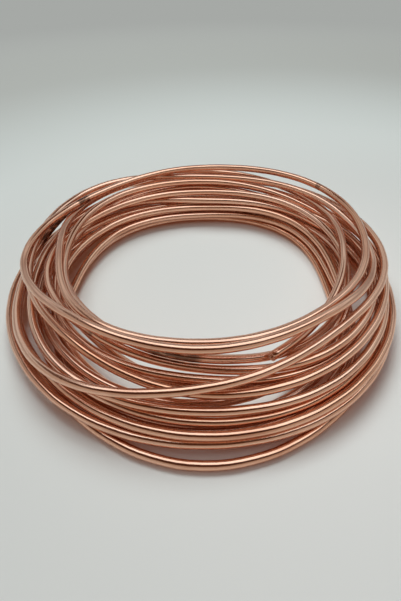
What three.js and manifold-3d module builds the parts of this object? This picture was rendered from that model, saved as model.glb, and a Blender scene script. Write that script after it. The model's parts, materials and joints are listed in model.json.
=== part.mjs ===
// Copper tube coil: one length of soft-drawn copper tube, wound by hand into a loose coil that
// lies flat on the floor. Its turns cross and lean on each other round an open eye, and both
// ends are cut square, with the bore open. Millimetres, +Z up; the origin is on the floor,
// under the middle of the coil.
import * as THREE from "three";
import { mergeVertices } from "three/addons/utils/BufferGeometryUtils.js";
import Module from "manifold-3d";

// The tube.
const TUBE_OUTSIDE = 6.35;
const TUBE_WALL = 0.762;
const TUBE_LENGTH = 15240;
const END_BORE_DEPTH = 15;

// The coil. Lane 0 is the row of turns against the eye, and level 0 lies on the floor.
const EYE_RADIUS = 100;
const TURN_CLEARANCE = 0.4;
const TURN_PITCH = TUBE_OUTSIDE + TURN_CLEARANCE;

// The lay of each turn, from the free end on top down to the inner end on the floor: its
// [lane, level] at the front of the coil and at each eighth of the way round from there, by the
// right and the back, counted in tubes from the eye and from the floor.
const LAY = [
  [[2.2, 4.6], [0.5, 4.8], [1.6, 5.3], [6.2, 4.1], [7.6, 4.5], [6.8, 4.3], [1.8, 5.8], [1.0, 6.6]],
  [[0.0, 6.9], [0.6, 6.5], [4.1, 6.3], [7.6, 5.9], [6.1, 5.7], [5.4, 5.2], [5.8, 5.6], [2.2, 7.1]],
  [[1.1, 7.3], [1.6, 7.1], [5.0, 5.3], [5.5, 5.1], [5.1, 4.8], [7.7, 5.0], [5.6, 4.7], [3.0, 4.7]],
  [[3.3, 3.8], [4.8, 4.0], [6.5, 4.1], [7.4, 3.0], [8.0, 3.0], [8.2, 3.9], [6.8, 2.6], [6.7, 3.8]],
  [[3.7, 5.1], [2.8, 5.3], [6.5, 5.3], [8.1, 4.2], [7.0, 3.4], [6.2, 3.1], [4.8, 3.7], [5.4, 3.3]],
  [[4.7, 3.0], [5.9, 3.1], [6.4, 3.1], [5.0, 4.2], [3.6, 4.8], [3.4, 4.9], [1.5, 4.7], [0.3, 5.3]],
  [[0.5, 5.1], [1.5, 3.7], [2.4, 4.0], [3.2, 4.0], [2.5, 3.5], [2.7, 3.9], [3.4, 4.4], [1.3, 5.0]],
  [[0.9, 4.3], [3.8, 4.5], [5.1, 4.1], [4.4, 3.1], [4.0, 3.9], [3.9, 3.4], [2.4, 3.5], [2.3, 4.0]],
  [[1.9, 4.0], [4.0, 3.3], [5.3, 3.1], [3.8, 2.9], [1.7, 2.9], [5.0, 2.7], [5.6, 2.5], [5.2, 2.3]],
  [[5.3, 2.1], [6.2, 2.1], [6.7, 2.1], [5.8, 2.6], [3.3, 2.7], [5.6, 2.2], [7.4, 0.7], [6.3, 1.4]],
  [[6.5, 1.8], [7.0, 2.1], [7.4, 1.9], [6.5, 2.0], [5.2, 2.5], [6.7, 2.1], [7.9, 1.6], [7.3, 1.4]],
  [[6.6, 0.9], [7.3, 1.1], [7.0, 0.9], [5.6, 1.3], [4.4, 1.7], [6.4, 1.0], [8.2, 0.1], [6.7, 0.3]],
  [[8.3, 0.0], [7.05, 0.1], [6.4, 0.1], [4.5, 1.7], [1.7, 1.3], [2.4, 1.4], [4.6, 1.6], [5.3, 1.2]],
  [[5.5, 1.1], [5.2, 1.4], [1.4, 1.1], [2.4, 1.2], [0.6, 1.0], [1.2, 1.2], [1.2, 1.1], [4.2, 1.2]],
  [[4.4, 1.0], [3.6, 1.8], [1.6, 2.6], [2.5, 2.5], [1.3, 2.0], [1.8, 2.4], [2.2, 2.7], [0.8, 3.2]],
  [[2.2, 2.8], [2.3, 1.8], [2.5, 3.0], [3.4, 2.0], [2.4, 2.0], [3.2, 2.0], [3.9, 2.4], [3.8, 2.4]],
  [[3.4, 2.3], [1.7, 0.9], [2.6, 2.1], [3.6, 0.9], [3.2, 1.0], [3.5, 1.0], [2.9, 1.2], [3.1, 1.1]],
  [[3.8, 0.0], [3.2, 0.0], [1.1, 0.1], [2.4, 0.1], [1.3, 0.0], [1.5, 0.0], [1.3, 0.0], [4.3, 0.1]],
  [[4.9, 0.0], [4.4, 0.3], [2.6, 0.3], [3.6, 0.0], [2.4, 0.1], [2.6, 0.1], [4.2, 0.1], [5.0, 0.0]],
];
const STATIONS_PER_TURN = LAY[0].length;

// Where the free end is, in stations past the front.
const FREE_END_STATION = 0.5;

// Turns past the last row start the rows again, this many levels above the highest of them.
const LEVELS_TO_NEXT_LAY = 1;

// The sweep.
const TUBE_SIDES = 8;
const STEPS_PER_STATION = 4;
const STEPS_PER_TURN = STEPS_PER_STATION * STATIONS_PER_TURN;

// How the turns settle against each other: the share of its unevenness that a turn takes out in
// the first pass, which falls to nothing by the last.
const SETTLE_PASSES = 240;
const STIFFNESS = 0.4;

const COPPER = new THREE.MeshStandardMaterial({
  name: "drawn_copper",
  color: "#c98263",
  roughness: 0.28,
  metalness: 1,
});

// The lay at a station of the winding, counted from the front of the first turn.
function layAt(station) {
  const turn = Math.floor(station / STATIONS_PER_TURN);
  const round = Math.floor(turn / LAY.length);
  const [lane, level] = LAY[turn % LAY.length][station % STATIONS_PER_TURN];
  const top = Math.max(...LAY.flat().map(([, height]) => height));
  return [lane, level + round * (top + LEVELS_TO_NEXT_LAY)];
}

// The winding as a list of steps, each with its angle round the coil, its radius and its
// height, smooth from one station to the next, for at least the given length of tube.
function wind(length) {
  const steps = [];
  const first = Math.round(FREE_END_STATION * STEPS_PER_STATION);
  let wound = 0;
  for (let count = first; wound < length; count += 1) {
    const station = Math.floor(count / STEPS_PER_STATION);
    const share = (count % STEPS_PER_STATION) / STEPS_PER_STATION;
    const near = [-1, 0, 1, 2].map((shift) => layAt(Math.max(station + shift, 0)));
    const [lane, level] = [0, 1].map((axis) => smooth(near.map((lay) => lay[axis]), share));
    const step = {
      angle: (2 * Math.PI * count) / STEPS_PER_TURN - Math.PI / 2,
      radius: EYE_RADIUS + TUBE_OUTSIDE / 2 + lane * TURN_PITCH,
      height: TUBE_OUTSIDE / 2 + level * TURN_PITCH,
    };
    steps.push(step);
    wound += (2 * Math.PI * step.radius) / STEPS_PER_TURN;
  }
  return steps;
}

// A Catmull-Rom value between the middle two of four values.
function smooth([before, start, end, after], share) {
  const rise = (end - before) / 2;
  const fall = (after - start) / 2;
  const square = share * share;
  const cube = square * share;
  return (
    (2 * cube - 3 * square + 1) * start +
    (cube - 2 * square + share) * rise +
    (3 * square - 2 * cube) * end +
    (cube - square) * fall
  );
}

// Pushes apart two turns that come closer than their pitch between one step and the next.
function pushApart(a, b, aNext, bNext) {
  const from = [b.radius - a.radius, b.height - a.height];
  const to = [bNext.radius - aNext.radius, bNext.height - aNext.height];
  const along = [to[0] - from[0], to[1] - from[1]];
  const span = along[0] ** 2 + along[1] ** 2;
  const dot = from[0] * along[0] + from[1] * along[1];
  const share = span > 0 ? Math.min(Math.max(-dot / span, 0), 1) : 0;
  const gap = [from[0] + share * along[0], from[1] + share * along[1]];
  const distance = Math.hypot(gap[0], gap[1]);
  if (distance >= TURN_PITCH) return;
  const away = distance > 0 ? [gap[0] / distance, gap[1] / distance] : [0, 1];
  const shove = (TURN_PITCH - distance) / 2;
  for (const [step, sign, weight] of [
    [a, -1, 1 - share],
    [aNext, -1, share],
    [b, 1, 1 - share],
    [bNext, 1, share],
  ]) {
    step.radius += sign * weight * shove * away[0];
    step.height += sign * weight * shove * away[1];
  }
}

// Lets the turns settle: pushed off their lay, they bend away from it smoothly, and none passes
// through another or through the floor.
function settle(steps) {
  const lay = steps.map((step) => ({ ...step }));
  for (let pass = 0; pass < SETTLE_PASSES; pass += 1) {
    const stiffness = STIFFNESS * (1 - pass / SETTLE_PASSES);
    for (const axis of ["radius", "height"]) {
      const offset = steps.map((step, i) => step[axis] - lay[i][axis]);
      for (let i = 1; i + 1 < steps.length; i += 1) {
        const middle = (offset[i - 1] + offset[i + 1]) / 2;
        steps[i][axis] += stiffness * (middle - offset[i]);
      }
    }
    for (let i = 0; i + 1 < steps.length; i += 1) {
      for (let j = i + STEPS_PER_TURN; j + 1 < steps.length; j += STEPS_PER_TURN) {
        pushApart(steps[i], steps[j], steps[i + 1], steps[j + 1]);
      }
    }
    for (const step of steps) {
      step.height = Math.max(step.height, TUBE_OUTSIDE / 2);
    }
  }
  return steps;
}

// The point of the centre line at a step.
function place({ angle, radius, height }) {
  return new THREE.Vector3(radius * Math.cos(angle), radius * Math.sin(angle), height);
}

// The points of the centre line up to the given length along it.
function cutToLength(points, length) {
  const kept = [points[0]];
  let left = length;
  for (let i = 1; i < points.length; i += 1) {
    const stride = points[i].distanceTo(points[i - 1]);
    if (stride >= left) {
      kept.push(points[i - 1].clone().lerp(points[i], left / stride));
      return kept;
    }
    kept.push(points[i]);
    left -= stride;
  }
  return kept;
}

// The centre line of the tube as a path whose steps are the steps of the winding, so that the
// facets of neighbouring turns run side by side.
class TubeRoute extends THREE.Curve {
  constructor(points) {
    super();
    this.points = points;
  }

  getPoint(t) {
    const reach = t * (this.points.length - 1);
    const i = Math.min(Math.floor(reach), this.points.length - 2);
    return this.points[i].clone().lerp(this.points[i + 1], reach - i);
  }

  getPointAt(u) {
    return this.getPoint(u);
  }

  // Frames that stand upright, so that the section keeps a corner at its lowest point.
  computeFrenetFrames(segments) {
    const last = this.points.length - 1;
    const frames = { tangents: [], normals: [], binormals: [] };
    for (let i = 0; i <= segments; i += 1) {
      const before = this.points[Math.max(i - 1, 0)];
      const after = this.points[Math.min(i + 1, last)];
      const tangent = after.clone().sub(before).normalize();
      const normal = new THREE.Vector3(0, 0, 1).cross(tangent).normalize();
      frames.tangents.push(tangent);
      frames.normals.push(normal);
      frames.binormals.push(tangent.clone().cross(normal));
    }
    return frames;
  }
}

// A round section, with a corner at its lowest point.
function roundSection(radius) {
  const section = new THREE.Shape();
  for (let side = 0; side < TUBE_SIDES; side += 1) {
    const angle = (2 * Math.PI * side) / TUBE_SIDES;
    const [x, y] = [radius * Math.cos(angle), radius * Math.sin(angle)];
    if (side === 0) section.moveTo(x, y);
    else section.lineTo(x, y);
  }
  section.closePath();
  return section;
}

// A round bar of the given radius along the points.
function sweep(points, radius) {
  const geometry = new THREE.ExtrudeGeometry(roundSection(radius), {
    steps: points.length - 1,
    extrudePath: new TubeRoute(points),
  });
  geometry.deleteAttribute("normal");
  geometry.deleteAttribute("uv");
  return mergeVertices(geometry);
}

const wasm = await Module();
wasm.setup();

function solidOf(geometry) {
  return new wasm.Manifold(
    new wasm.Mesh({
      numProp: 3,
      vertProperties: geometry.attributes.position.array,
      triVerts: new Uint32Array(geometry.index.array),
    }),
  );
}

// The bore at the first end of a route, from just outside the cut face to its depth along it.
function endBore(route) {
  const outwards = route[0].clone().sub(route[1]).normalize();
  const mouth = route[0].clone().addScaledVector(outwards, TUBE_WALL);
  const bored = [mouth, ...cutToLength(route, END_BORE_DEPTH)];
  return solidOf(sweep(bored, TUBE_OUTSIDE / 2 - TUBE_WALL));
}

// Moves the coil so that the middle of its box is over the origin and it rests on the floor.
function centre(points) {
  const box = new THREE.Box3().setFromPoints(points);
  const middle = box.getCenter(new THREE.Vector3());
  const shift = new THREE.Vector3(middle.x, middle.y, box.min.z - TUBE_OUTSIDE / 2);
  return points.map((point) => point.clone().sub(shift));
}

function copperTubeCoil() {
  const route = centre(cutToLength(settle(wind(TUBE_LENGTH)).map(place), TUBE_LENGTH));
  const solid = solidOf(sweep(route, TUBE_OUTSIDE / 2))
    .subtract(endBore(route))
    .subtract(endBore(route.toReversed()))
    .getMesh();
  const geometry = new THREE.BufferGeometry();
  geometry.setAttribute("position", new THREE.BufferAttribute(solid.vertProperties, 3));
  geometry.setIndex(new THREE.BufferAttribute(solid.triVerts, 1));
  geometry.computeVertexNormals();
  const mesh = new THREE.Mesh(geometry, COPPER);
  mesh.name = "copper_tube_coil";
  return mesh;
}

const coil = new THREE.Group();
coil.name = "coil";
coil.add(copperTubeCoil());

export default coil;
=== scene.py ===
"""Looks of the copper tube coil: a soft-drawn copper tube, swept smooth and hollow along the
centre line of its solid, with the marks that winding by hand leaves on it, and with painted
shade on a few strands that lie in shadow."""

import json
import logging
import math
from dataclasses import dataclass, field
from enum import Enum

import bmesh
import bpy
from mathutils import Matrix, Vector

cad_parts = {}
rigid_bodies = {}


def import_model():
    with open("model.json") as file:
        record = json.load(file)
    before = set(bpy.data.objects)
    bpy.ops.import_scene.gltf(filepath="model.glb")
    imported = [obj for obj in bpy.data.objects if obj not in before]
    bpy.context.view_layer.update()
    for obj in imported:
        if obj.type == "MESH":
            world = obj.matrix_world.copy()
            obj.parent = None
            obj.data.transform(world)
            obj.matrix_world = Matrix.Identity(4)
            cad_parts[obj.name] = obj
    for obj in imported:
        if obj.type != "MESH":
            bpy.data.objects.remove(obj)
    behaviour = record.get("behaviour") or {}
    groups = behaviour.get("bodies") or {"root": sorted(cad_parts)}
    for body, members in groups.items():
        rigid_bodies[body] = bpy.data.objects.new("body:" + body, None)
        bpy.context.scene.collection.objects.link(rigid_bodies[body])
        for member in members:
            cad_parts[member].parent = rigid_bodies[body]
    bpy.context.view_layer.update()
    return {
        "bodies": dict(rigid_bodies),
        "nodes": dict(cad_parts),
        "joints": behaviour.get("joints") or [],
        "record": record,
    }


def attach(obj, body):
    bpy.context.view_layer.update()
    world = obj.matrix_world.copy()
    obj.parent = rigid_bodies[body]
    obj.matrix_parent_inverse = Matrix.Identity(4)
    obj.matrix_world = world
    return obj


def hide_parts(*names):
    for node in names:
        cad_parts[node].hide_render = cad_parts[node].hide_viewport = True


LOG = logging.getLogger("copper_tube_coil")
NODE = "copper_tube_coil"
MM = 0.001

# The attribute that holds where a point is on the tube: round it, and the length along it.
LAY = "tube_lay"

# The colour sockets of a Mix node, by number, because its other kinds share their names.
MIX_SHARE, MIX_UNDER, MIX_OVER = 0, 6, 7
MIX_RESULT = 2

# The plain tone that shows behind everything.
BACKDROP = "#A6A9A6"


def linear(colour: str) -> tuple[float, float, float, float]:
    """Turns an sRGB hex colour into linear red, green, blue and alpha.

    Args:
        colour: the colour as "#RRGGBB".

    Returns:
        The four linear channels, with alpha at 1.
    """
    channels = [int(colour[i : i + 2], 16) / 255 for i in (1, 3, 5)]
    red, green, blue = (
        c / 12.92 if c <= 0.04045 else ((c + 0.055) / 1.055) ** 2.4 for c in channels
    )
    return (red, green, blue, 1.0)


def add_node(
    tree: bpy.types.NodeTree,
    kind: str,
    settings: dict[str, object] | None = None,
    values: dict[str | int, object] | None = None,
    links: dict[str | int, bpy.types.NodeSocket] | None = None,
    stops: dict[float, str] | None = None,
) -> bpy.types.Node:
    """Adds a node with its settings, its socket values, its links and its colour stops.

    Args:
        tree: the node tree that takes it.
        kind: the node's type name, such as "ShaderNodeTexNoise".
        settings: properties of the node and their values.
        values: constants set on its own input sockets.
        links: sockets of other nodes that feed its inputs.
        stops: the colour at each place of a colour ramp, in order.

    Returns:
        The new node.
    """
    node = tree.nodes.new(kind)
    for name, value in (settings or {}).items():
        setattr(node, name, value)
    for socket, value in (values or {}).items():
        node.inputs[socket].default_value = value
    for socket, source in (links or {}).items():
        tree.links.new(source, node.inputs[socket])
    for number, (place, colour) in enumerate((stops or {}).items()):
        given = node.color_ramp.elements
        stop = given[number] if number < len(given) else given.new(place)
        stop.position = place
        stop.color = linear(colour)
    return node


class TubeEnd(Enum):
    """The two cut ends of the tube, by the names of their mounts."""

    OUTER = "outer_end"
    INNER = "inner_end"


@dataclass(frozen=True)
class Onset:
    """Where in a pattern, which runs from 0 to 1, an effect starts and where it is whole."""

    starts: float
    whole: float


@dataclass(frozen=True)
class Mark:
    """A mark on the tube: where along it, how long it is, and how dark. Some marks are real
    staining, the others painted shade.
    """

    along: float
    length: float
    strength: float


@dataclass(frozen=True)
class DrawnCopper:
    """Soft copper tube, drawn through a die and annealed, then handled: a bright skin that
    gives sharp lengthwise highlights, with fine die lines, a warm tarnish in slow patches
    and dark brown marks at a few places along it, partly real staining and partly painted
    shade on strands that lie in shadow and reflect the dark. The die lines are real
    ones drawn about five times as coarse, so that they show."""

    name: str = "copper_soft_drawn"
    clean: str = "#F1C3A9"
    warm: str = "#E4A988"
    tarnish: str = "#B77557"
    # Dark brown of the marks: partly real staining, partly painted shade on strands that lie in
    # shadow and reflect the dark.
    stain_and_shade: str = "#4A2C1F"
    patch: float = 95 * MM
    patch_stretch: float = 3.0
    warming: Onset = Onset(0.35, 0.65)
    mottle: float = 14 * MM
    mottle_detail: float = 4.0
    tarnish_stretch: float = 4.0
    tarnishing: Onset = Onset(0.52, 0.78)
    tarnish_most: float = 0.6
    scuff_stretch: float = 5.0
    scuffing: Onset = Onset(0.3, 0.8)
    roughness: float = 0.11
    scuffed_roughness: float = 0.25
    die_line: float = 0.55 * MM
    die_line_stretch: float = 60.0
    die_line_depth: float = 0.02 * MM
    die_line_strength: float = 0.06
    dent: float = 22 * MM
    dent_stretch: float = 1.6
    dent_depth: float = 0.4 * MM
    dent_strength: float = 0.8
    stain_and_shade_edge: float = 3 * MM
    stain_and_shade_edge_stretch: float = 2.0
    raggedness: Onset = Onset(0.24, 0.5)
    mark_core: float = 0.6
    # Where the dark brown marks lie along the tube: some are real staining, the others painted
    # shade on strands in shadow.
    marks: tuple[Mark, ...] = (
        Mark(5.053, 42 * MM, 0.8),
        Mark(3.077, 75 * MM, 0.9),
        Mark(1.307, 16 * MM, 0.8),
        Mark(1.045, 7 * MM, 0.6),
        Mark(3.634, 6 * MM, 0.7),
        Mark(5.732, 9 * MM, 0.6),
    )

    def material(self) -> bpy.types.Material:
        """Builds the material of the finish.

        Returns:
            The finished node material.
        """
        made = bpy.data.materials.new(self.name)
        made.use_nodes = True
        tree = made.node_tree
        tree.nodes.clear()
        lay = add_node(tree, "ShaderNodeAttribute", {"attribute_name": LAY}).outputs["Vector"]
        shader = add_node(
            tree,
            "ShaderNodeBsdfPrincipled",
            values={"Metallic": 1.0},
            links={
                "Base Color": self.colour(tree, lay),
                "Roughness": self.sheen(tree, lay),
                "Normal": self.relief(tree, lay),
            },
        )
        add_node(tree, "ShaderNodeOutputMaterial", links={"Surface": shader.outputs["BSDF"]})
        return made

    def patches(
        self,
        tree: bpy.types.NodeTree,
        lay: bpy.types.NodeSocket,
        size: float,
        stretch: float,
        detail: float = 2.0,
    ) -> bpy.types.NodeSocket:
        """Adds slow patches that follow the tube.

        Args:
            tree: the node tree that takes it.
            lay: the tube's own coordinates, with the length along it last.
            size: the size of a patch round the tube, in metres.
            stretch: how many times longer than wide a patch is.
            detail: how many finer layers the patches have.

        Returns:
            The socket that gives the patches from 0 to 1.
        """
        run = add_node(
            tree,
            "ShaderNodeMapping",
            values={"Scale": (1.0 / size, 1.0 / size, 1.0 / (size * stretch))},
            links={"Vector": lay},
        )
        pattern = add_node(
            tree,
            "ShaderNodeTexNoise",
            values={"Scale": 1.0, "Detail": detail},
            links={"Vector": run.outputs["Vector"]},
        )
        return pattern.outputs["Fac"]

    def stains_and_shade(
        self, tree: bpy.types.NodeTree, lay: bpy.types.NodeSocket
    ) -> bpy.types.NodeSocket:
        """Adds the dark brown marks at their places along the tube: real staining at some,
        painted shade at the others.

        Args:
            tree: the node tree that takes them.
            lay: the tube's own coordinates.

        Returns:
            The socket that gives how far the staining and the painted shade cover the surface,
            from 0 to 1.
        """
        split = add_node(tree, "ShaderNodeSeparateXYZ", links={"Vector": lay})
        edge = self.patches(tree, lay, self.stain_and_shade_edge, self.stain_and_shade_edge_stretch)
        total = None
        # Each mark darkens a stretch of the tube: real staining for some, painted shade for the
        # others.
        for mark in self.marks:
            away = add_node(
                tree,
                "ShaderNodeMath",
                {"operation": "SUBTRACT"},
                {1: mark.along},
                {0: split.outputs["Z"]},
            )
            apart = add_node(
                tree, "ShaderNodeMath", {"operation": "ABSOLUTE"}, links={0: away.outputs[0]}
            )
            spot = add_node(
                tree,
                "ShaderNodeMapRange",
                {"interpolation_type": "SMOOTHSTEP"},
                {
                    "From Min": self.mark_core * mark.length / 2,
                    "From Max": mark.length / 2,
                    "To Min": mark.strength,
                    "To Max": 0.0,
                },
                {"Value": apart.outputs[0]},
            )
            if total is None:
                total = spot.outputs["Result"]
                continue
            total = add_node(
                tree,
                "ShaderNodeMath",
                {"operation": "MAXIMUM"},
                links={0: total, 1: spot.outputs["Result"]},
            ).outputs[0]
        ragged = add_node(
            tree,
            "ShaderNodeMapRange",
            values={"From Min": self.raggedness.starts, "From Max": self.raggedness.whole},
            links={"Value": edge},
        )
        cut = add_node(
            tree,
            "ShaderNodeMath",
            {"operation": "MULTIPLY", "use_clamp": True},
            links={0: total, 1: ragged.outputs["Result"]},
        )
        return cut.outputs[0]

    def colour(
        self, tree: bpy.types.NodeTree, lay: bpy.types.NodeSocket
    ) -> bpy.types.NodeSocket:
        """Adds the colour: clean copper with warm patches, tarnish, and dark brown marks that
        are partly real staining and partly painted shade.

        Args:
            tree: the node tree that takes it.
            lay: the tube's own coordinates.

        Returns:
            The colour's socket.
        """
        warmth = add_node(
            tree,
            "ShaderNodeMapRange",
            values={"From Min": self.warming.starts, "From Max": self.warming.whole},
            links={"Value": self.patches(tree, lay, self.patch, self.patch_stretch)},
        )
        mottled = self.patches(
            tree, lay, self.mottle, self.tarnish_stretch, self.mottle_detail
        )
        dulling = add_node(
            tree,
            "ShaderNodeMapRange",
            values={
                "From Min": self.tarnishing.starts,
                "From Max": self.tarnishing.whole,
                "To Max": self.tarnish_most,
            },
            links={"Value": mottled},
        )
        # The dark brown layer is partly real staining and partly painted shade on strands that
        # lie in shadow.
        shares = {
            self.warm: warmth.outputs["Result"],
            self.tarnish: dulling.outputs["Result"],
            self.stain_and_shade: self.stains_and_shade(tree, lay),
        }
        under: dict[int, bpy.types.NodeSocket] = {}
        for colour, share in shares.items():
            layer = add_node(
                tree,
                "ShaderNodeMix",
                {"data_type": "RGBA"},
                {MIX_UNDER: linear(self.clean), MIX_OVER: linear(colour)},
                {MIX_SHARE: share} | under,
            )
            under = {MIX_UNDER: layer.outputs[MIX_RESULT]}
        return under[MIX_UNDER]

    def sheen(
        self, tree: bpy.types.NodeTree, lay: bpy.types.NodeSocket
    ) -> bpy.types.NodeSocket:
        """Adds the roughness, which is higher where the skin is tarnished or scuffed.

        Args:
            tree: the node tree that takes it.
            lay: the tube's own coordinates.

        Returns:
            The roughness socket.
        """
        scuffed = self.patches(tree, lay, self.mottle, self.scuff_stretch, self.mottle_detail)
        rough = add_node(
            tree,
            "ShaderNodeMapRange",
            values={
                "From Min": self.scuffing.starts,
                "From Max": self.scuffing.whole,
                "To Min": self.roughness,
                "To Max": self.scuffed_roughness,
            },
            links={"Value": scuffed},
        )
        return rough.outputs["Result"]

    def relief(
        self, tree: bpy.types.NodeTree, lay: bpy.types.NodeSocket
    ) -> bpy.types.NodeSocket:
        """Adds the relief: fine die lines along the tube, and shallow dents from bending.

        Args:
            tree: the node tree that takes it.
            lay: the tube's own coordinates.

        Returns:
            The normal socket.
        """
        lines = add_node(
            tree,
            "ShaderNodeBump",
            values={"Strength": self.die_line_strength, "Distance": self.die_line_depth},
            links={"Height": self.patches(tree, lay, self.die_line, self.die_line_stretch)},
        )
        dents = add_node(
            tree,
            "ShaderNodeBump",
            values={"Strength": self.dent_strength, "Distance": self.dent_depth},
            links={
                "Height": self.patches(tree, lay, self.dent, self.dent_stretch, detail=1.0),
                "Normal": lines.outputs["Normal"],
            },
        )
        return dents.outputs["Normal"]


@dataclass
class WoundTube:
    """The tube of the coil, hollow from end to end, along the centre line of its solid. The
    three last lengths are for finding the ring of corners at the solid's outer end: how close
    two corners are that are one, how far from the mount's place on the tube's wall its corners
    may be, and how flat its face is."""

    outside: float = 6.35 * MM
    wall: float = 0.762 * MM
    sides: int = 16
    steps_between_rings: int = 4
    centres: list[Vector] = field(default_factory=list)
    same_corner: float = 0.01 * MM
    end_reach: float = 7.62 * MM
    end_flatness: float = 0.05 * MM

    def read_centre_line(self, solid: bpy.types.Object, end: dict) -> None:
        """Finds the centre of every ring of corners on the solid, from its outer end inwards.

        Args:
            solid: the solid's object.
            end: the mount at the tube's outer end, with its place and axis.
        """
        mesh = bmesh.new()
        mesh.from_mesh(solid.data)
        bmesh.ops.remove_doubles(mesh, verts=mesh.verts, dist=self.same_corner)
        mesh.verts.index_update()
        place, axis = Vector(end["pos_m"]), Vector(end["axis"])
        face = [
            v
            for v in mesh.verts
            if (v.co - place).length < self.end_reach
            and abs((v.co - place).dot(axis)) < self.end_flatness
        ]
        middle = sum((v.co for v in face), Vector()) / len(face)
        ring = [v for v in face if (v.co - middle).length > (self.outside - self.wall) / 2]
        seen = set(face)
        self.centres = []
        while ring:
            centre = sum((v.co for v in ring), Vector()) / len(ring)
            if self.centres and (centre - self.centres[-1]).length < self.wall:
                break
            self.centres.append(centre)
            beyond = {e.other_vert(v) for v in ring for e in v.link_edges} - seen
            seen |= beyond
            # In the same order on every run, so that the centres are the same to the last digit.
            ring = sorted(beyond, key=lambda v: v.index)
        mesh.free()

    def sweep(self, name: str) -> bpy.types.Object:
        """Sweeps the round tube along the centre line and gives it its wall.

        Args:
            name: the name of the piece.

        Returns:
            The tube as one closed mesh object at the origin.
        """
        path = bpy.data.curves.new(name + "_path", "CURVE")
        path.dimensions = "3D"
        path.resolution_u = self.steps_between_rings
        path.bevel_depth = self.outside / 2
        # A round bevel has four sides, and two more for each step of its resolution.
        path.bevel_resolution = (self.sides - 4) // 2
        path.use_fill_caps = False
        spline = path.splines.new("BEZIER")
        spline.bezier_points.add(len(self.centres) - 1)
        for point, centre in zip(spline.bezier_points, self.centres):
            point.co = centre
            point.handle_left_type = point.handle_right_type = "AUTO"
        swept = bpy.data.objects.new(name + "_sweep", path)
        bpy.context.scene.collection.objects.link(swept)
        bpy.context.view_layer.update()
        graph = bpy.context.evaluated_depsgraph_get()
        mesh = bpy.data.meshes.new_from_object(swept.evaluated_get(graph))
        bpy.data.objects.remove(swept)
        mesh.name = name
        self.store_lay(mesh)
        tube = bpy.data.objects.new(name, mesh)
        bpy.context.scene.collection.objects.link(tube)
        shell = tube.modifiers.new("wall", "SOLIDIFY")
        shell.thickness = self.wall
        shell.offset = -1
        shell.use_even_offset = True
        mesh.shade_smooth()
        return tube

    def store_lay(self, mesh: bpy.types.Mesh) -> None:
        """Stores on each point where it is on the tube: round it, and the length along it.

        Args:
            mesh: the swept mesh, ring by ring.
        """
        rings = len(mesh.vertices) // self.sides
        along = 0.0
        last = None
        lay = mesh.attributes.new(LAY, "FLOAT_VECTOR", "POINT")
        for ring in range(rings):
            first = ring * self.sides
            corners = [mesh.vertices[first + side].co for side in range(self.sides)]
            centre = sum(corners, Vector()) / self.sides
            along += (centre - last).length if last else 0.0
            last = centre
            for side in range(self.sides):
                turn = 2 * math.pi * side / self.sides
                lay.data[first + side].vector = (
                    self.outside / 2 * math.cos(turn),
                    self.outside / 2 * math.sin(turn),
                    along,
                )

    def build(self, frame: dict) -> bpy.types.Object:
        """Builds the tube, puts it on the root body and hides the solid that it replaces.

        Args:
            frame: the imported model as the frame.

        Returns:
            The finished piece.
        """
        mounts = {m["name"]: m for m in frame["record"]["mounts"]}
        self.read_centre_line(frame["nodes"][NODE], mounts[TubeEnd.OUTER.value])
        inner = mounts[TubeEnd.INNER.value]
        short = (self.centres[-1] - Vector(inner["pos_m"])).dot(Vector(inner["axis"])) / MM
        LOG.info("centre line: %d rings, %.2f mm off its far end", len(self.centres), short)
        tube = self.sweep("wound_tube")
        tube.data.materials.clear()
        tube.data.materials.append(DrawnCopper().material())
        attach(tube, "root")
        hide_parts(NODE)
        LOG.info("%s: %d faces before its wall", tube.name, len(tube.data.polygons))
        return tube


@dataclass(frozen=True)
class PaintedLightRing:
    """A distance from the brightest place of the floor and the colour of the floor there, which
    is painted light: lighter near that place, darker further out.
    """

    distance: float
    colour: str


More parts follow.
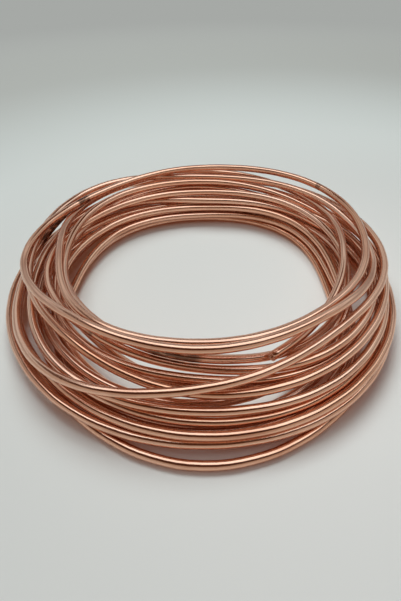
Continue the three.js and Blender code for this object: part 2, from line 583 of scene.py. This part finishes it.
@dataclass(frozen=True)
class MattPaper:
    """Matt studio paper, laid flat: it scatters light and has no shine, so the eye sees its
    soft tone and the coil's shadow. Its colour is painted lighter round its brightest place and
    darker further out, a painted pool of light; a faint warm glow, seen by the camera and in the
    metal, is painted bounce light that lifts the shadows; and far out it rises to the plain
    backdrop."""

    name: str = "matt_paper"
    brightest: tuple[float, float, float] = (0.13, -0.1, 0.0)
    # Painted pool of light: the floor's colour is lightest near the brightest place and darker
    # further out.
    rings: tuple[PaintedLightRing, ...] = (
        PaintedLightRing(0.06, "#DDE7E7"),
        PaintedLightRing(0.28, "#D0DCDC"),
        PaintedLightRing(0.5, "#C7D6D6"),
        PaintedLightRing(0.8, "#A5B3B2"),
        PaintedLightRing(1.4, "#B0BDBC"),
    )
    # Painted warm bounce light, which lifts the floor's shadows.
    glow: str = "#4A2212"
    fade_start: float = 0.8
    fade_end: float = 1.3

    def material(self) -> bpy.types.Material:
        """Builds the material of the floor.

        Returns:
            The finished node material.
        """
        paper = bpy.data.materials.new(self.name)
        paper.use_nodes = True
        tree = paper.node_tree
        tree.nodes.clear()
        place = add_node(tree, "ShaderNodeTexCoord")
        reach = add_node(
            tree,
            "ShaderNodeVectorMath",
            {"operation": "DISTANCE"},
            {1: self.brightest},
            {0: place.outputs["Object"]},
        )
        outermost = self.rings[-1].distance
        away = add_node(
            tree,
            "ShaderNodeMapRange",
            values={"From Max": outermost},
            links={"Value": reach.outputs["Value"]},
        )
        # The floor's colour from its rings: a painted pool of light.
        tone = add_node(
            tree,
            "ShaderNodeValToRGB",
            links={"Fac": away.outputs["Result"]},
            stops={ring.distance / outermost: ring.colour for ring in self.rings},
        )
        tone.color_ramp.interpolation = "CARDINAL"
        matt = add_node(tree, "ShaderNodeBsdfDiffuse", links={"Color": tone.outputs["Color"]})
        path = add_node(tree, "ShaderNodeLightPath")
        seen = add_node(
            tree,
            "ShaderNodeMath",
            {"operation": "MAXIMUM"},
            links={0: path.outputs["Is Camera Ray"], 1: path.outputs["Is Glossy Ray"]},
        )
        # The glow is painted warm bounce light, seen by the camera and in the metal.
        glow, backdrop = (
            add_node(
                tree,
                "ShaderNodeEmission",
                values={"Color": linear(colour)},
                links={"Strength": seen.outputs[0]},
            )
            for colour in (self.glow, BACKDROP)
        )
        near = add_node(
            tree, "ShaderNodeAddShader", links={0: matt.outputs[0], 1: glow.outputs[0]}
        )
        fade = add_node(
            tree,
            "ShaderNodeMapRange",
            {"interpolation_type": "SMOOTHSTEP"},
            {"From Min": self.fade_start, "From Max": self.fade_end},
            {"Value": reach.outputs["Value"]},
        )
        whole = add_node(
            tree,
            "ShaderNodeMixShader",
            links={0: fade.outputs["Result"], 1: near.outputs[0], 2: backdrop.outputs[0]},
        )
        add_node(tree, "ShaderNodeOutputMaterial", links={"Surface": whole.outputs[0]})
        return paper


@dataclass(frozen=True)
class Band:
    """A height in the room, in degrees above the horizon, and the colour of the room there, in
    front of the coil and behind it."""

    elevation: float
    front: str
    back: str


@dataclass(frozen=True)
class PlainRoom:
    """The plain room that the metal shows: brown above, pale low down in front, and low down
    behind a light wall with a darker band across it. To each side, the front turns into the
    back over an angle whose sine is `side`."""

    name: str = "plain_room"
    bands: tuple[Band, ...] = (
        Band(0.0, "#C0BEB8", "#CDDBDF"),
        Band(6.0, "#BDBAB4", "#CDDBDF"),
        Band(13.0, "#BAB6B0", "#9B9A9B"),
        Band(25.0, "#B2ADA6", "#9B9A9B"),
        Band(30.0, "#ACA59D", "#DAE6EC"),
        Band(33.0, "#A9A29A", "#DAE6EC"),
        Band(37.5, "#4E3121", "#A1A4A3"),
        Band(40.0, "#4E3121", "#5E4334"),
        Band(90.0, "#4E3121", "#4E3121"),
    )
    side: float = 0.25

    def world(self) -> bpy.types.World:
        """Builds the room as the world. To the camera it is one plain tone, which the far
        floor rises to, and it doesn't light the floor.

        Returns:
            The world.
        """
        world = bpy.data.worlds.new(self.name)
        world.use_nodes = True
        tree = world.node_tree
        tree.nodes.clear()
        direction = add_node(tree, "ShaderNodeTexCoord")
        split = add_node(
            tree, "ShaderNodeSeparateXYZ", links={"Vector": direction.outputs["Generated"]}
        )
        heights = [math.sin(math.radians(band.elevation)) for band in self.bands]
        front, back = (
            add_node(
                tree,
                "ShaderNodeValToRGB",
                links={"Fac": split.outputs["Z"]},
                stops=dict(zip(heights, colours)),
            )
            for colours in (
                [band.front for band in self.bands],
                [band.back for band in self.bands],
            )
        )
        behind = add_node(
            tree,
            "ShaderNodeMapRange",
            {"interpolation_type": "SMOOTHSTEP"},
            {"From Min": -self.side, "From Max": self.side},
            {"Value": split.outputs["Y"]},
        )
        room = add_node(
            tree,
            "ShaderNodeMix",
            {"data_type": "RGBA"},
            links={
                MIX_SHARE: behind.outputs["Result"],
                MIX_UNDER: front.outputs["Color"],
                MIX_OVER: back.outputs["Color"],
            },
        )
        path = add_node(tree, "ShaderNodeLightPath")
        shown = add_node(
            tree,
            "ShaderNodeMix",
            {"data_type": "RGBA"},
            {MIX_OVER: linear(BACKDROP)},
            {MIX_SHARE: path.outputs["Is Camera Ray"], MIX_UNDER: room.outputs[MIX_RESULT]},
        )
        light = add_node(
            tree, "ShaderNodeBackground", links={"Color": shown.outputs[MIX_RESULT]}
        )
        add_node(tree, "ShaderNodeOutputWorld", links={"Surface": light.outputs[0]})
        world.cycles_visibility.diffuse = False
        return world


@dataclass(frozen=True)
class SoftLamp:
    """A soft lamp that faces the coil: its name, where it hangs, how wide and deep its face is,
    its colour, how bright its face is, where 1 is white, whether metal shows it, and whether it
    lights the floor."""

    name: str
    place: tuple[float, float, float]
    width: float
    depth: float
    colour: str
    level: float
    shows_in_metal: bool
    lights_floor: bool

    def hang(self) -> bpy.types.Object:
        """Hangs the lamp with its face towards the coil.

        Returns:
            The lamp's object.
        """
        light = bpy.data.lights.new(self.name, "AREA")
        light.shape = "RECTANGLE"
        light.size = self.width
        light.size_y = self.depth
        light.color = linear(self.colour)[:3]
        # The brightness of a lamp's face is its power over its area and pi.
        light.energy = self.level * math.pi * self.width * self.depth
        hung = bpy.data.objects.new(self.name, light)
        hung.location = self.place
        hung.rotation_euler = Vector(self.place).to_track_quat("Z", "Y").to_euler()
        hung.visible_camera = False
        hung.visible_glossy = self.shows_in_metal
        hung.visible_diffuse = self.lights_floor
        bpy.context.scene.collection.objects.link(hung)
        return hung


@dataclass
class Studio:
    """A pale floor with a painted pool of light and painted warm bounce light, soft lamps
    overhead, a plain room round it and a camera in front of the coil. The focal length is in
    pixels of an image as high as `image_height`."""

    floor_size: float = 9.0
    lamps: tuple[SoftLamp, ...] = (
        SoftLamp("soft_box", (0.06, 0.17, 1.15), 1.74, 0.9, "#E5F5FF", 1.75, True, False),
        SoftLamp("side_box", (0.88, 0.64, 1.15), 0.7, 0.4, "#E5F5FF", 1.1, True, False),
        SoftLamp("window", (-0.45, 2.1, 3.3), 2.8, 2.0, "#FBFCFA", 8.1, False, True),
        SoftLamp("skylight", (-0.2, -0.6, 2.9), 3.0, 3.0, "#FBFCFA", 0.66, False, True),
    )
    camera_place: tuple[float, float, float] = (0.782 * MM, -269.609 * MM, 247.1 * MM)
    camera_down: float = 43.8
    focal_pixels: float = 415.0
    image_height: int = 601
    sensor_width: float = 36.0
    nearest_seen: float = 10 * MM
    farthest_seen: float = 50.0

    def floor(self) -> bpy.types.Object:
        """Makes the floor that the coil lies on.

        Returns:
            The floor.
        """
        shape = bmesh.new()
        bmesh.ops.create_grid(shape, x_segments=1, y_segments=1, size=self.floor_size / 2)
        mesh = bpy.data.meshes.new("floor")
        shape.to_mesh(mesh)
        shape.free()
        mesh.materials.append(MattPaper().material())
        floor = bpy.data.objects.new("floor", mesh)
        bpy.context.scene.collection.objects.link(floor)
        return floor

    def camera(self) -> bpy.types.Object:
        """Stands the camera in front of the coil, looking down into its eye.

        Returns:
            The camera's object.
        """
        data = bpy.data.cameras.new("camera")
        data.sensor_fit = "AUTO"
        data.sensor_width = self.sensor_width
        data.lens = self.focal_pixels / self.image_height * self.sensor_width
        data.clip_start = self.nearest_seen
        data.clip_end = self.farthest_seen
        camera = bpy.data.objects.new("camera", data)
        camera.location = self.camera_place
        camera.rotation_euler = (math.radians(90.0 - self.camera_down), 0.0, 0.0)
        bpy.context.scene.collection.objects.link(camera)
        bpy.context.scene.camera = camera
        return camera

    def build(self) -> None:
        """Builds the floor, the lamps, the room and the camera."""
        self.floor()
        for lamp in self.lamps:
            lamp.hang()
        bpy.context.scene.world = PlainRoom().world()
        self.camera()
        bpy.context.scene.view_settings.view_transform = "Standard"
        LOG.info("studio: floor, %d soft lamps, room and camera", len(self.lamps))


def main() -> None:
    """Builds the coil and its studio, and reports each piece."""
    logging.basicConfig(level=logging.INFO, format="%(name)s: %(message)s")
    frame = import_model()
    WoundTube().build(frame)
    Studio().build()
    bpy.context.view_layer.update()


if __name__ == "__main__":
    main()
